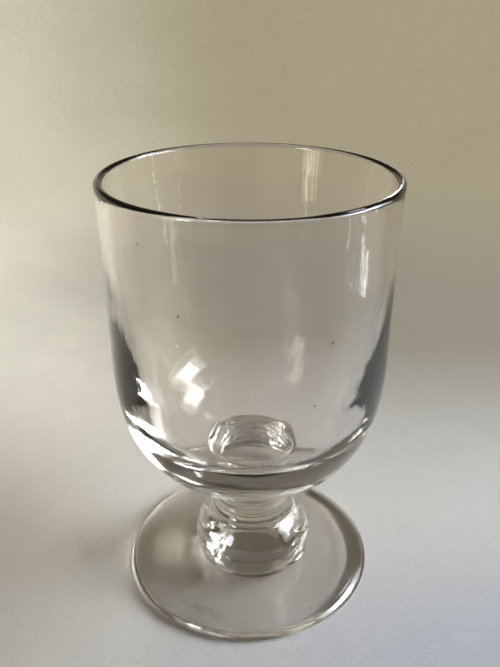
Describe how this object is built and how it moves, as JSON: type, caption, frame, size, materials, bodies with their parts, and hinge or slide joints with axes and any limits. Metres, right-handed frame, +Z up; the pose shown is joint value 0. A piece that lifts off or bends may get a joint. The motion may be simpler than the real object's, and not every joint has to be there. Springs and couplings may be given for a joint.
{
  "type": "rummer glass",
  "caption": "Hand-made clear drinking glass with a deep round-bottomed bowl, waisted collar, squashed ball knop and wide disc foot.",
  "frame": {"origin": "middle of the foot's resting plane, on the bowl's axis: the bottom centre of the overall box", "axes": "+Z up along the bowl's axis from foot to rim; the knop stands 1.2 mm off that axis towards +X and the collar leans back to it; the picture looks along +Y"},
  "size_m": [0.084, 0.084, 0.1326],
  "materials": {
    "bowl_glass": "clear blown glass, faintly grey, fire-polished, with fine striae and a few seeds",
    "collar_glass": "clear tooled glass, faintly grey, with soft tool rings",
    "knop_glass": "clear solid glass, faintly grey, slightly lumpy from the tool",
    "foot_glass": "clear glass with light scuffs on top and a worn, frosted resting ring"
  },
  "bodies": {
    "root": {"bowl": "bowl_glass", "collar": "collar_glass", "ball_knop": "knop_glass", "foot": "foot_glass"}
  },
  "joints": []
}
